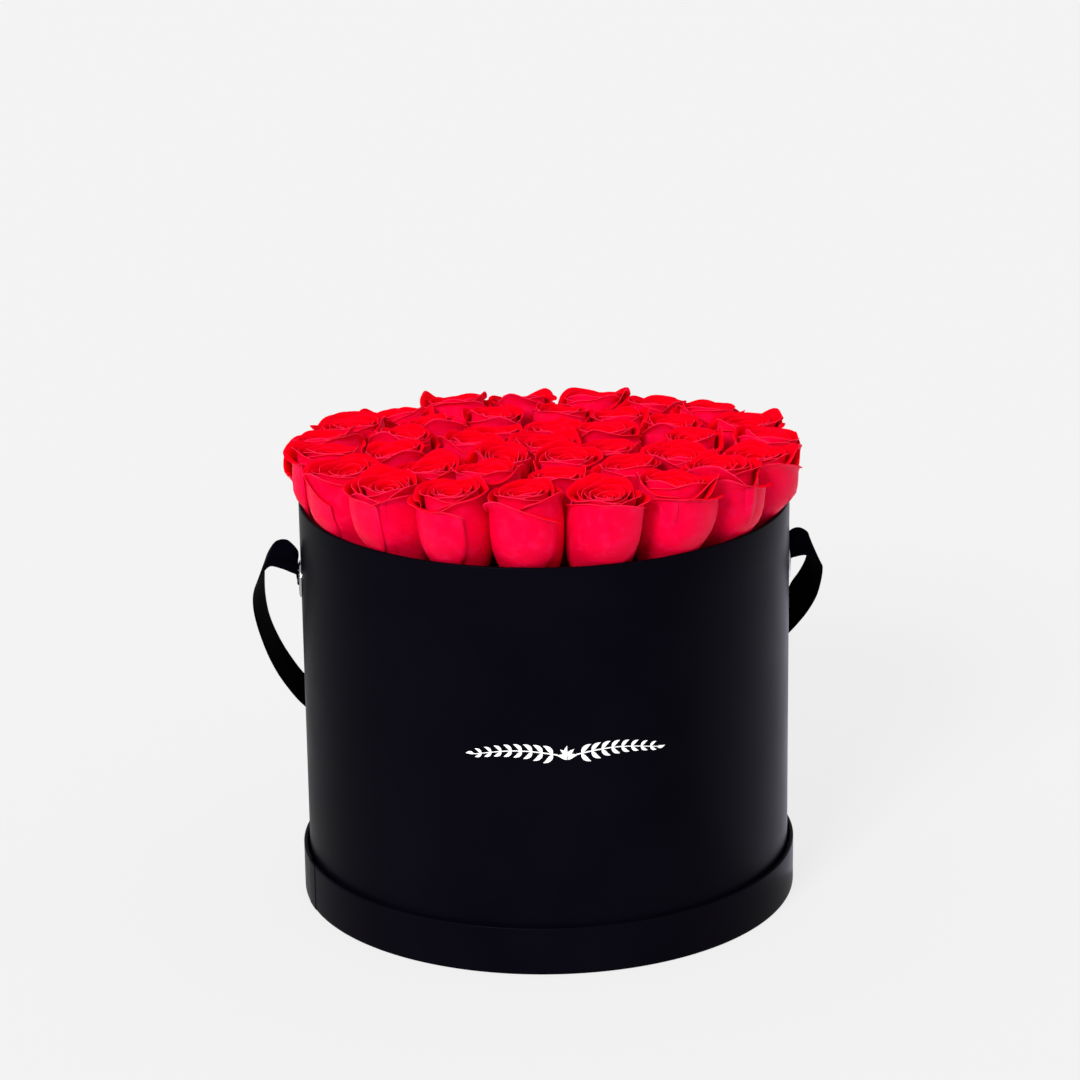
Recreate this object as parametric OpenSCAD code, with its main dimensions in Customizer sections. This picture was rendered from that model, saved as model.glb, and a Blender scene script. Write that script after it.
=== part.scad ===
// Round hat box of packed roses, standing in its own upturned lid, with one long ribbon strap.
// Millimetres, +Z up. The origin is the centre of the lid's flat face on the table.
// -Y is the front, and the two eyelets of the strap are on the X axis.

/* [Box] */
// Outer diameter of the box, over its covering paper
box_d = 300; // [299:0.5:301]
// Height of the box above its own underside
box_h = 249.5; // [248:0.5:254]
// Thickness of the grey board in the walls and the panels
board_t = 2; // [1.6:0.1:2.2]
// Thickness of the covering and lining paper
paper_t = 0.3; // [0.2:0.05:0.35]
// Depth of the covering paper that is turned in over a rim
turn_in = 20; // [14:1:24]
// Width of the covering paper's border that is glued under a panel
turn_under = 10; // [6:1:16]

/* [Lid] */
// Height of the upturned lid
lid_h = 30; // [26:1:34]
// Gap all round between the box and the wall of the lid
lid_gap = 1.5; // [1.2:0.1:2]
// Overlap of the covering paper's two ends
seam_lap = 12; // [8:1:16]

/* [Strap] */
// Height of the eyelets above the table
eyelet_z = 203; // [201:0.5:205]
// Radius of the hole in an eyelet
eyelet_hole_r = 5.5; // [5.4:0.1:5.8]
// Outer radius of an eyelet's flange
eyelet_flange_r = 11.5; // [10.5:0.5:12.5]
// Thickness of the ribbon
ribbon_t = 0.6; // [0.4:0.1:0.8]
// Thickness of the ribbon where it is gathered in an eyelet
gather_t = 3; // [2:0.2:3]
// Radius of the knots inside the box
knot_r = 8.5; // [7.5:0.5:9]

/* [Flowers] */
// Largest radius of a rose head
head_r = 18.4; // [17:0.2:19]
// Height of a rose head
head_h = 57; // [54:1:60]
// Height of the crown of roses above the table, at the middle
crown_z = 288; // [286:1:291]
// How much higher the crown is at the front than at the middle
crown_lean = 7.5; // [4:0.5:9]
// Radius of a stem
stem_r = 3; // [2.4:0.2:3.4]
// Height of the top of the foam above the table
foam_z = 185; // [170:1:188]
// Height of the riser under the bowl of foam
riser_h = 72; // [20:2:76]

/* [Hidden] */
$fn = 96;

box_r = box_d / 2;
wall_r = box_r - paper_t;                    // outside of the box's board
bore_r = wall_r - board_t;                   // inside of the box's board
lining_r = bore_r - paper_t;                 // inside of the box's lining
lid_bore_r = box_r + lid_gap;                // inside of the lid's board
lid_wall_r = lid_bore_r + board_t;
lid_r = lid_wall_r + paper_t;
skin_t = 2 * paper_t;                        // a panel's paper and the border above it
box_z = skin_t + board_t + paper_t;          // underside of the box, on the lid's lining
floor_z = box_z + skin_t + board_t;          // top of the box's own base panel
rim_z = box_z + box_h;
panel_paper_in = 2;                          // how far a panel's paper stays inside the edge

// Direction of the seams of the covering paper, in degrees from +X
lid_seam_a = 191;
box_seam_a = 84;

// Eyelet, measured outward from the covering paper along its own axis
flange_h = 1.4;
barrel_t = 0.5;
washer_r = 10;
washer_out = -3.05;                          // clear of the curved lining at the washer's edge
washer_t = 0.6;
curl_h = 0.6;
curl_r = 8;
knot_l = 14;
knot_face = -4.4;

// Plastic bowl with the wet foam, on its riser
liner_r = lining_r - 0.6;
liner_t = 0.8;
liner_lip = 2;
liner_z = floor_z + riser_h;
foam_r = liner_r - liner_t - 0.2;
riser_r = 120;
riser_t = 4;
stem_foot_z = liner_z + 18;

// Rings of roses: how many, radius of the heads' feet, lean outward, direction of the first one
ring_count = [1, 7, 13, 19];
ring_r = [0, 45, 87.2, 123.5];
ring_lean = [0, 2, 4, 9];
ring_start = [0, -77, -87, -98.5];
rose_count = 40;
rises = rands(-1.5, 1.5, rose_count, 11);
sizes = rands(0.96, 1, rose_count, 5);
spins = rands(0, 360, rose_count, 3);
head_foot_r = 4.5;
hip_h = 7;

// One rose is [ring, direction]
roses = [for (ring = [0:3]) for (k = [0:ring_count[ring] - 1])
         [ring, ring_start[ring] + k * 360 / ring_count[ring]]];

function two_digits(n) = str(n < 10 ? "0" : "", n);
ROSES = [for (i = [1:rose_count]) str("rose_", two_digits(i))];

// Route of the strap, from the knot at -X round the back to the knot at +X. Each row is the
// ribbon's upper edge and its lower edge, so the row's own length is the ribbon's width there.
strap_route = [
  [[-145.6, 0, 207.5], [-145.6, 0, 198.5]],
  [[-151.55, 0, 208], [-151.8, 0, 199]],
  [[-151.45, 0, 214.5], [-152.4, 0, 202]],
  [[-151.1, 0, 220.5], [-152.8, 0, 205.4]],
  [[-154.6, 0, 225.5], [-156.5, 0.5, 207.3]],
  [[-158.5, 1.5, 228], [-162, 3, 209]],
  [[-164, 6, 226], [-169, 6, 209.5]],
  [[-168.5, 14, 218], [-174.5, 9, 203]],
  [[-171.5, 26, 207], [-178.5, 16, 192.5]],
  [[-172.5, 39, 193], [-180, 26, 181]],
  [[-172.5, 51, 177], [-179.2, 38.3, 166.2]],
  [[-170.6, 63, 159.8], [-175.9, 50.4, 148.3]],
  [[-165.9, 75, 142.2], [-170.5, 64.3, 128]],
  [[-158.6, 87, 123.8], [-162.7, 78.3, 108]],
  [[-148, 99, 104.5], [-150.3, 93.4, 86.2]],
  [[-132, 112.5, 87], [-133, 109.5, 67.5]],
  [[-108, 127, 76], [-108, 126, 56]],
  [[-80, 139, 70], [-80, 139, 50]],
  [[-50, 147, 68], [-50, 147, 48]],
  [[-18, 152, 70], [-18, 152, 50]],
  [[14, 152.5, 75.5], [14, 152.5, 55.5]],
  [[45, 147, 84.5], [46, 146.5, 64.5]],
  [[74, 135.5, 96.5], [75, 134.5, 76.5]],
  [[100, 120, 110.5], [102, 117, 90.5]],
  [[129, 100, 125.5], [129.5, 95.5, 106.5]],
  [[148, 79, 138], [147.5, 73.5, 120]],
  [[157, 61.5, 150], [156, 58, 131.4]],
  [[158, 54.2, 162], [164.1, 47.2, 144.8]],
  [[159.8, 46.3, 173], [169.8, 38.3, 156.9]],
  [[164, 38.2, 183.6], [173.2, 28.2, 169.5]],
  [[166.4, 29, 194.4], [174.1, 17.3, 182.6]],
  [[166.3, 20, 205], [173.7, 8.4, 193.2]],
  [[165.5, 12, 214], [172, 3, 199]],
  [[163.3, 5, 219.6], [166.5, 1, 204.5]],
  [[159, 1.4, 223.4], [161, 1, 205.6]],
  [[154.6, 0, 223.8], [156, 0, 205.2]],
  [[151.1, 0, 221], [152.8, 0, 204.2]],
  [[151.45, 0, 214], [152.4, 0, 201.8]],
  [[151.55, 0, 208], [151.8, 0, 199]],
  [[145.6, 0, 207.5], [145.6, 0, 198.5]]];
gathered_rows = 2;                           // rows at each end that lie inside an eyelet

// ---------- shared shapes ----------

// A ring with a square section
module tube(r_in, r_out, z0, z1) {
  rotate_extrude() translate([r_in, z0]) square([r_out - r_in, z1 - z0]);
}

// A disc
module disc(r, z0, z1) {
  translate([0, 0, z0]) cylinder(r = r, h = z1 - z0);
}

// Covering paper of a round wall: up the outside, over the rim and down the inside, with a
// border turned under the panel, and a lap where its two ends meet. The panel's own paper is
// glued over the border, so the wrap starts one thickness above it.
module wrap(r, board_in, z0, z1, seam_a) {
  out = r - paper_t;
  inner = board_in - paper_t;
  low = z0 + paper_t;
  rotate_extrude() polygon([
    [out - turn_under, low], [r, low], [r, z1], [inner, z1], [inner, z1 - turn_in],
    [board_in, z1 - turn_in], [board_in, z1 - paper_t], [out, z1 - paper_t],
    [out, low + paper_t], [out - turn_under, low + paper_t]]);
  rotate([0, 0, seam_a]) rotate_extrude(angle = seam_lap / r * 180 / PI)
    translate([r - paper_t / 2, low]) square([1.5 * paper_t, z1 - low]);
}

// The two holes through the box's wall for the eyelets
module eyelet_holes() {
  translate([0, 0, eyelet_z]) rotate([0, 90, 0])
    cylinder(r = eyelet_hole_r + barrel_t, h = 2 * box_r + 20, center = true);
}

// Places a shape that is drawn round +Z, with z = 0 on the covering paper, at one eyelet
module at_eyelet(side) {
  translate([side * box_r, 0, eyelet_z]) rotate([0, side * 90, 0]) children();
}

// Places a shape that stands on z = 0 at the foot of rose i, leaning with it
module at_rose(i) {
  ring = roses[i][0];
  dir = roses[i][1];
  foot_y = ring_r[ring] * sin(dir);
  foot_z = crown_z - head_h - crown_lean * foot_y / ring_r[3] + rises[i];
  translate([ring_r[ring] * cos(dir), foot_y, foot_z])
    rotate([0, 0, dir]) rotate([0, ring_lean[ring], 0]) children();
}

// ---------- lid ----------

module lid_panel() {
  color("dimgray") disc(lid_bore_r, skin_t, skin_t + board_t);
}

module lid_wall() {
  color("dimgray") tube(lid_bore_r, lid_wall_r, skin_t, lid_h - paper_t);
}

module lid_wrap() {
  color("black") wrap(lid_r, lid_bore_r, 0, lid_h, lid_seam_a);
}

module lid_panel_paper() {
  color("black") disc(lid_wall_r - panel_paper_in, 0, paper_t);
}

// A disc on the panel and a strip up the wall, as far as the turned-in covering paper
module lid_lining() {
  panel_z = skin_t + board_t;
  color("black") {
    tube(lid_bore_r - paper_t, lid_bore_r, panel_z, lid_h - turn_in);
    disc(lid_bore_r - paper_t, panel_z, box_z);
  }
}

// ---------- box ----------

module box_base() {
  color("dimgray") disc(bore_r, box_z + skin_t, floor_z);
}

module box_wall() {
  color("dimgray") difference() {
    tube(bore_r, wall_r, box_z + skin_t, rim_z - paper_t);
    eyelet_holes();
  }
}

module box_wrap() {
  color("black") difference() {
    wrap(box_r, bore_r, box_z, rim_z, box_seam_a);
    eyelet_holes();
  }
}

module box_base_paper() {
  color("black") disc(wall_r - panel_paper_in, box_z, box_z + paper_t);
}

module box_lining() {
  color("black") difference() {
    tube(lining_r, bore_r, floor_z, rim_z - turn_in);
    eyelet_holes();
  }
}

// ---------- eyelets ----------

// Domed flange, barrel through the wall and the end that is curled over the washer
module eyelet(side) {
  dome_mid = (eyelet_hole_r + eyelet_flange_r) / 2;
  dome_half = (eyelet_flange_r - eyelet_hole_r) / 2;
  curl_z = washer_out - washer_t;
  color("silver") at_eyelet(side) rotate_extrude() polygon(concat(
    [for (a = [0:15:165]) [dome_mid + dome_half * cos(a), flange_h * sin(a)]],
    [[eyelet_hole_r, 0], [eyelet_hole_r, curl_z - curl_h], [curl_r, curl_z - curl_h],
     [curl_r, curl_z], [eyelet_hole_r + barrel_t, curl_z], [eyelet_hole_r + barrel_t, 0]]));
}

module eyelet_left() { eyelet(-1); }

module eyelet_right() { eyelet(1); }

module eyelet_washers() {
  color("silver") for (side = [-1, 1]) at_eyelet(side)
    tube(eyelet_hole_r + barrel_t, washer_r, washer_out - washer_t, washer_out);
}

// ---------- strap ----------

function middle(row) = (row[0] + row[1]) / 2;
function unit(v) = v / norm(v);

// The four corners of the ribbon's section at row i, round the ribbon
function section(i) =
  let (last = len(strap_route) - 1,
       row = strap_route[i],
       along = middle(strap_route[min(i + 1, last)]) - middle(strap_route[max(i - 1, 0)]),
       gathered = i < gathered_rows || i > last - gathered_rows,
       half = unit(cross(along, row[0] - row[1])) * (gathered ? gather_t : ribbon_t) / 2)
  [row[0] + half, row[0] - half, row[1] - half, row[1] + half];

// Both faces of the ribbon are split along the same diagonals, so they never cross
module carry_strap() {
  rows = len(strap_route);
  points = [for (i = [0:rows - 1]) each section(i)];
  sides = [for (i = [0:rows - 2]) for (k = [0:3]) let (n = (k + 1) % 4, a = 4 * i)
           each k < 3 ? [[a + k, a + n, a + 4 + n], [a + k, a + 4 + n, a + 4 + k]]
                      : [[a + k, a + n, a + 4 + k], [a + n, a + 4 + n, a + 4 + k]]];
  first = [[3, 2, 1], [3, 1, 0]];
  last_a = 4 * (rows - 1);
  last = [[last_a, last_a + 1, last_a + 2], [last_a, last_a + 2, last_a + 3]];
  color("black") polyhedron(points, concat(sides, first, last));
}

// The overhand knot that keeps one end of the ribbon inside the box
module strap_knot(side) {
  color("black") at_eyelet(side) rotate_extrude() polygon(concat(
    [[0, knot_face], [knot_r * 0.55, knot_face]],
    [for (a = [60:-20:-80]) [knot_r * cos(a), knot_face + knot_l * (sin(a) - 1) / 2]],
    [[0, knot_face - knot_l]]));
}

module strap_knot_left() { strap_knot(-1); }

module strap_knot_right() { strap_knot(1); }

// ---------- inside ----------

// Board collar that lifts the bowl of foam to the height of the stems
module bowl_riser() {
  color("tan") tube(riser_r - riser_t, riser_r, floor_z, liner_z);
}

// Waterproof bowl that holds the wet foam
module liner_bowl() {
  color("gainsboro") {
    tube(liner_r - liner_t, liner_r, liner_z, foam_z + liner_lip);
    disc(liner_r - liner_t, liner_z, liner_z + liner_t);
  }
}

module flower_foam() {
  color("darkgreen") difference() {
    disc(foam_r, liner_z + liner_t, foam_z);
    stems();
  }
}

// Each stem swells into the hip under its rose head
module stems() {
  for (i = [0:rose_count - 1]) {
    lean = ring_lean[roses[i][0]];
    at_rose(i) {
      foot_l = (crown_z - head_h - stem_foot_z) / cos(lean);
      translate([0, 0, -foot_l]) cylinder(r = stem_r, h = foot_l - hip_h);
      translate([0, 0, -hip_h]) cylinder(r1 = stem_r, r2 = head_foot_r, h = hip_h);
    }
  }
}

module rose_stems() {
  color("olivedrab") stems();
}

// A half-open bud: full below and a little narrower at the lip
module rose(i) {
  r = head_r * sizes[i];
  color("red") at_rose(i) rotate([0, 0, spins[i]]) rotate_extrude() polygon([
    [0, 0], [head_foot_r, 0], [0.62 * r, 4], [0.81 * r, 9], [0.92 * r, 16], [0.98 * r, 24],
    [r, 32], [r, 42], [0.95 * r, 50], [0.83 * r, head_h - 2], [0.6 * r, head_h], [0, head_h]]);
}

lid_panel();
lid_wall();
lid_wrap();
lid_panel_paper();
lid_lining();
box_base();
box_wall();
box_wrap();
box_base_paper();
box_lining();
eyelet_left();
eyelet_right();
eyelet_washers();
carry_strap();
strap_knot_left();
strap_knot_right();
bowl_riser();
liner_bowl();
flower_foam();
rose_stems();
for (i = [0:rose_count - 1]) rose(i);
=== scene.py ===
import math

import bmesh
import bpy
import numpy as np
from mathutils import Matrix, Vector

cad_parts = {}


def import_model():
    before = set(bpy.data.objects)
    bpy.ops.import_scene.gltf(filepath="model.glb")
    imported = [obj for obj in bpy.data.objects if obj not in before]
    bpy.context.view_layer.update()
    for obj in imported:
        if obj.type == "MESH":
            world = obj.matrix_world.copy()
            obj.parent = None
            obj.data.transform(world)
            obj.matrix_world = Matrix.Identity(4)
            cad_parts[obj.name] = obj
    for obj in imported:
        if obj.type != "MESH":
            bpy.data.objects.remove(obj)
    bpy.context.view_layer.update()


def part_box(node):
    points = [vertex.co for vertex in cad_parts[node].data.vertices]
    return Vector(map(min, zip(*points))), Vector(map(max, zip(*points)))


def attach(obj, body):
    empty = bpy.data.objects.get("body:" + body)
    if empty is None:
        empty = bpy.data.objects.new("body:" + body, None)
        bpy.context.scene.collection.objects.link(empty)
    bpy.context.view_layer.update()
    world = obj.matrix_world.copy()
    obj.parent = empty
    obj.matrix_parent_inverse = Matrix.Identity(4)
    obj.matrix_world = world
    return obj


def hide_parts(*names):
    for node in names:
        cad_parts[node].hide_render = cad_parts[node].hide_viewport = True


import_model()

MM = 0.001

# ---------- sizes, from the frame ----------

BOX_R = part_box("box_wrap")[1][0]
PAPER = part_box("lid_wrap")[0][2]
EYELET_Z = (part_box("eyelet_left")[0][2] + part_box("eyelet_left")[1][2]) / 2


# ---------- camera, light and floor ----------

CAMERA_YAW = math.radians(4.3)
CAMERA_PITCH = math.radians(17.59)
CAMERA_ROLL = math.radians(-0.82)
CAMERA_DISTANCE = 2.2526
CAMERA_SIDE = -0.0028
CAMERA_AIM_Z = 0.222
CAMERA_LENS = 122.23
SENSOR = 36.0
FLOOR_HALF = 12.0
FLOOR_PALE = 0.9
FLOOR_GLOW = 0.775
FLOOR_GLOW_SHARE = 0.9


def camera():
    """The camera looks at the front of the box, from a little to its left and above."""
    sin_y, cos_y = math.sin(CAMERA_YAW), math.cos(CAMERA_YAW)
    sin_p, cos_p = math.sin(CAMERA_PITCH), math.cos(CAMERA_PITCH)
    right = Vector((cos_y, -sin_y, 0))
    ahead = Vector((sin_y * cos_p, cos_y * cos_p, -sin_p))
    up = right.cross(ahead)
    aim = right * CAMERA_SIDE + Vector((0, 0, CAMERA_AIM_Z))
    turn = Matrix((right, up, -ahead)).transposed() @ Matrix.Rotation(CAMERA_ROLL, 3, "Z")
    data = bpy.data.cameras.new("camera")
    data.lens = CAMERA_LENS
    data.sensor_width = SENSOR
    data.clip_end = 50
    ob = bpy.data.objects.new("camera", data)
    ob.matrix_world = Matrix.Translation(aim - ahead * CAMERA_DISTANCE) @ turn.to_4x4()
    bpy.context.collection.objects.link(ob)
    bpy.context.scene.camera = ob


def aimed(name, kind, place, aim, power, color=(1, 1, 1)):
    """A light at a place that shines towards the aim point."""
    data = bpy.data.lights.new(name, kind)
    data.energy = power
    data.color = color
    ob = bpy.data.objects.new(name, data)
    ob.location = place
    ob.rotation_euler = (Vector(aim) - Vector(place)).to_track_quat("-Z", "Y").to_euler()
    bpy.context.collection.objects.link(ob)
    return ob


def sun(name, place, power, angle):
    """Even light from the direction of place. The angle in degrees softens its shadows."""
    aimed(name, "SUN", place, (0, 0, 0), power).data.angle = math.radians(angle)


def patch(name, x, y, size, power):
    """A round patch of light on the floor that only shows as a sheen on the box's side."""
    ob = aimed(name, "AREA", (x, y, 0.004), (x, y, 1), power, (0.78, 0.77, 1))
    ob.data.shape = "DISK"
    ob.data.size = size
    ob.visible_camera = False
    ob.visible_diffuse = False


def world(strength):
    w = bpy.data.worlds.new("studio")
    w.use_nodes = True
    back = w.node_tree.nodes["Background"]
    back.inputs["Color"].default_value = (1, 1, 1, 1)
    back.inputs["Strength"].default_value = strength
    bpy.context.scene.world = w


def studio():
    bpy.context.scene.view_settings.view_transform = "Standard"
    world(0.75)
    sun("key", (-1.2, -2.1, 1.5), 3.15, 20)
    sun("top", (0.2, 0.3, 2.4), 0.2, 50)
    patch("right_patch", 0.64, 0.26, 1.12, 4.0)


def floor():
    """A pale floor that is mostly lit from within, as an evenly lit sweep looks."""
    mesh = bpy.data.meshes.new("floor")
    corners = [(x * FLOOR_HALF, y * FLOOR_HALF, 0) for x, y in ((-1, -1), (1, -1), (1, 1), (-1, 1))]
    mesh.from_pydata(corners, [], [(0, 1, 2, 3)])
    ob = bpy.data.objects.new("floor", mesh)
    bpy.context.collection.objects.link(ob)
    mat = bpy.data.materials.new("floor")
    mat.use_nodes = True
    tree = mat.node_tree
    tree.nodes.clear()
    glow = tree.nodes.new("ShaderNodeEmission")
    glow.inputs["Color"].default_value = (1, 1, 1, 1)
    glow.inputs["Strength"].default_value = FLOOR_GLOW / FLOOR_GLOW_SHARE
    matt = tree.nodes.new("ShaderNodeBsdfDiffuse")
    matt.inputs["Color"].default_value = (*[FLOOR_PALE] * 3, 1)
    mix = tree.nodes.new("ShaderNodeMixShader")
    mix.inputs["Fac"].default_value = FLOOR_GLOW_SHARE
    out = tree.nodes.new("ShaderNodeOutputMaterial")
    tree.links.new(matt.outputs[0], mix.inputs[1])
    tree.links.new(glow.outputs[0], mix.inputs[2])
    tree.links.new(mix.outputs[0], out.inputs["Surface"])
    mesh.materials.append(mat)


# ---------- material helpers ----------


class Shader:
    """A Principled material with short calls for the nodes that feed it."""

    def __init__(self, name, color, roughness, **sockets):
        self.mat = bpy.data.materials.new(name)
        self.mat.use_nodes = True
        self.tree = self.mat.node_tree
        self.bsdf = self.tree.nodes["Principled BSDF"]
        self.bsdf.inputs["Base Color"].default_value = (*color, 1)
        self.bsdf.inputs["Roughness"].default_value = roughness
        for socket, value in sockets.items():
            self.bsdf.inputs[socket.replace("_", " ")].default_value = value
        self.place = self.node("ShaderNodeTexCoord").outputs["Object"]

    def node(self, kind, **values):
        n = self.tree.nodes.new(kind)
        for key, value in values.items():
            setattr(n, key, value)
        return n

    def link(self, a, b):
        self.tree.links.new(a, b)

    def noise(self, scale, detail=3, stretch=None, vector=None, distortion=0.0):
        vector = vector or self.place
        if stretch:
            m = self.node("ShaderNodeMapping")
            m.inputs["Scale"].default_value = stretch
            self.link(vector, m.inputs["Vector"])
            vector = m.outputs[0]
        n = self.node("ShaderNodeTexNoise")
        n.inputs["Scale"].default_value = scale
        n.inputs["Detail"].default_value = detail
        n.inputs["Distortion"].default_value = distortion
        self.link(vector, n.inputs["Vector"])
        return n.outputs["Fac"]

    def span(self, value, low, high, to_low, to_high):
        """value's range from low to high becomes to_low to to_high."""
        n = self.node("ShaderNodeMapRange")
        for socket, v in zip(("From Min", "From Max", "To Min", "To Max"),
                             (low, high, to_low, to_high)):
            n.inputs[socket].default_value = v
        self.link(value, n.inputs["Value"])
        return n.outputs["Result"]

    def ramp(self, value, *stops):
        n = self.node("ShaderNodeValToRGB")
        band = n.color_ramp
        while len(band.elements) < len(stops):
            band.elements.new(0.5)
        for element, (at, color) in zip(band.elements, stops):
            element.position = at
            element.color = (*color, 1)
        self.link(value, n.inputs["Fac"])
        return n.outputs["Color"]

    def mix(self, factor, a, b):
        n = self.node("ShaderNodeMix", data_type="RGBA")
        for socket, v in ((0, factor), (6, a), (7, b)):
            if isinstance(v, (int, float)):
                n.inputs[socket].default_value = v
            elif isinstance(v, tuple):
                n.inputs[socket].default_value = (*v, 1)
            else:
                self.link(v, n.inputs[socket])
        return n.outputs[2]

    def math(self, kind, a, b):
        n = self.node("ShaderNodeMath", operation=kind)
        for socket, v in enumerate((a, b)):
            if isinstance(v, (int, float)):
                n.inputs[socket].default_value = v
            else:
                self.link(v, n.inputs[socket])
        return n.outputs[0]

    def color(self, value):
        self.link(value, self.bsdf.inputs["Base Color"])

    def rough(self, value):
        self.link(value, self.bsdf.inputs["Roughness"])

    def bump(self, height, strength, distance):
        n = self.node("ShaderNodeBump")
        n.inputs["Strength"].default_value = strength
        n.inputs["Distance"].default_value = distance
        self.link(height, n.inputs["Height"])
        self.link(n.outputs[0], self.bsdf.inputs["Normal"])


# ---------- materials ----------


def cover_paper():
    """Soft black paper: a fine felted grain and faint rubbed patches."""
    s = Shader("cover_paper", (0.0014, 0.0012, 0.0026), 0.37, Specular_IOR_Level=0.012,
               Specular_Tint=(0.84, 0.82, 1, 1))
    grain = s.noise(2600, 4)
    patches = s.noise(14, 3)
    s.color(s.ramp(patches, (0.3, (0.0016, 0.0012, 0.0028)), (0.75, (0.0022, 0.0018, 0.0038))))
    s.rough(s.span(s.math("ADD", patches, s.math("MULTIPLY", grain, 0.5)), 0.5, 1.0, 0.32, 0.42))
    s.bump(grain, 0.25, 0.00006)
    return s.mat


def lining_paper():
    s = Shader("lining_paper", (0.006, 0.006, 0.008), 0.7, Specular_IOR_Level=0.3)
    s.bump(s.noise(1800, 4), 0.3, 0.00006)
    return s.mat


def grey_board():
    """Pressed grey board with short fibres and specks."""
    s = Shader("grey_board", (0.3, 0.29, 0.27), 0.9)
    fibres = s.noise(900, 5, distortion=0.6)
    s.color(s.ramp(fibres, (0.3, (0.2, 0.19, 0.175)), (0.5, (0.3, 0.29, 0.27)),
                   (0.75, (0.38, 0.37, 0.34))))
    s.bump(fibres, 0.5, 0.0001)
    return s.mat


def riser_board():
    """Corrugated brown board, with its flutes upright."""
    s = Shader("riser_board", (0.45, 0.31, 0.18), 0.85)
    speck = s.noise(700, 5)
    s.color(s.ramp(speck, (0.3, (0.33, 0.22, 0.12)), (0.7, (0.5, 0.36, 0.21))))
    s.bump(s.noise(300, 2, stretch=(1, 1, 0.02)), 0.6, 0.0004)
    return s.mat


def satin_ribbon():
    """Black double-faced satin: fine floats along the ribbon and a soft sheen."""
    s = Shader("ribbon", (0.001, 0.001, 0.002), 0.45, Specular_IOR_Level=0.001,
               Specular_Tint=(0.8, 0.8, 1, 1))
    uv = s.node("ShaderNodeUVMap", uv_map="ribbon").outputs["UV"]
    floats = s.noise(1, 2, stretch=(9000, 700, 1), vector=uv)
    slub = s.noise(1, 2, stretch=(260, 30, 1), vector=uv)
    s.color(s.ramp(slub, (0.35, (0.0006, 0.0006, 0.0014)), (0.7, (0.0014, 0.0012, 0.003))))
    s.rough(s.span(floats, 0.3, 0.7, 0.4, 0.54))
    s.bump(floats, 0.35, 0.00008)
    return s.mat


def eyelet_metal():
    s = Shader("eyelet_metal", (0.4, 0.4, 0.42), 0.25, Metallic=1.0)
    scratches = s.noise(1500, 3, stretch=(1, 1, 0.1))
    s.rough(s.span(scratches, 0.3, 0.7, 0.14, 0.28))
    s.bump(scratches, 0.1, 0.00003)
    return s.mat


def liner_plastic():
    s = Shader("liner_plastic", (0.62, 0.66, 0.66), 0.25)
    s.bump(s.noise(60, 2), 0.2, 0.0006)
    return s.mat


def floral_foam():
    """Fine open cells, darker where it is wet."""
    s = Shader("floral_foam", (0.05, 0.16, 0.07), 0.95)
    cells = s.noise(1400, 3)
    damp = s.noise(25, 3)
    s.color(s.mix(damp, (0.03, 0.1, 0.045), (0.07, 0.2, 0.09)))
    s.bump(cells, 0.8, 0.0004)
    return s.mat


def stem_green():
    s = Shader("stem_green", (0.1, 0.22, 0.05), 0.45)
    ribs = s.noise(500, 3, stretch=(1, 1, 0.08))
    s.color(s.ramp(ribs, (0.3, (0.07, 0.16, 0.03)), (0.7, (0.16, 0.3, 0.07))))
    s.bump(ribs, 0.4, 0.0002)
    return s.mat


def print_white():
    s = Shader("print_white", (0.86, 0.86, 0.86), 0.5)
    s.bump(s.noise(2600, 3), 0.2, 0.00004)
    return s.mat


def petal(name, dark, plain, light, specular):
    """One side of the petals. The attribute "petal" holds how near a point is to the petal's
    edge, how far up it is, and the petal's own tone. Veins run up the petal."""
    s = Shader(name, plain, 0.5, Specular_IOR_Level=specular, Specular_Tint=(1, 0.15, 0.4, 1),
               Subsurface_Weight=0.35, Subsurface_Radius=(1.0, 0.08, 0.1),
               Subsurface_Scale=0.004)
    facts = s.node("ShaderNodeSeparateColor")
    s.link(s.node("ShaderNodeAttribute", attribute_name="petal").outputs["Color"],
           facts.inputs[0])
    edge, up, tone = facts.outputs
    uv = s.node("ShaderNodeUVMap", uv_map="petal").outputs["UV"]
    veins = s.noise(1, 3, stretch=(800, 70, 1), vector=uv, distortion=0.4)
    mottle = s.noise(160, 3)
    # Painted shade: each petal is darker towards its foot, low in the bud where shade falls.
    base = s.mix(s.span(up, 0.05, 0.4, 0.0, 1.0), dark, plain)
    # Painted sheen: lighter mottled blotches stand in for the petals' velvety sheen.
    base = s.mix(s.math("MULTIPLY", s.span(mottle, 0.5, 0.75, 0.0, 1.0), 0.4), base, light)
    base = s.mix(s.math("MULTIPLY", tone, 0.12), base, dark)
    # Painted highlight: the petals' edges and the tops of their lips are painted lighter.
    base = s.mix(s.math("MULTIPLY", s.math("POWER", edge, 4.0), 0.7), base, light)
    s.color(base)
    s.rough(s.span(veins, 0.3, 0.7, 0.44, 0.58))
    s.bump(s.math("ADD", s.math("MULTIPLY", mottle, 0.8), veins), 0.45, 0.0006)
    return s.mat


# ---------- mesh helpers ----------


def add(name, verts, faces, mats, body, smooth=True):
    """A new mesh piece, in metres, that rides on a CAD body."""
    mesh = bpy.data.meshes.new(name)
    mesh.from_pydata(verts, [], faces)
    mesh.update()
    if smooth:
        mesh.shade_smooth()
    for m in mats:
        mesh.materials.append(m)
    ob = bpy.data.objects.new(name, mesh)
    bpy.context.collection.objects.link(ob)
    if body:
        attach(ob, body)
    return ob


def recalc(ob):
    bm = bmesh.new()
    bm.from_mesh(ob.data)
    bmesh.ops.recalc_face_normals(bm, faces=bm.faces)
    bm.to_mesh(ob.data)
    bm.free()


def apply_modifiers(ob):
    """Puts the object's modifiers into its mesh."""
    graph = bpy.context.evaluated_depsgraph_get()
    done = bpy.data.meshes.new_from_object(ob.evaluated_get(graph))
    ob.modifiers.clear()
    ob.data = done


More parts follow.
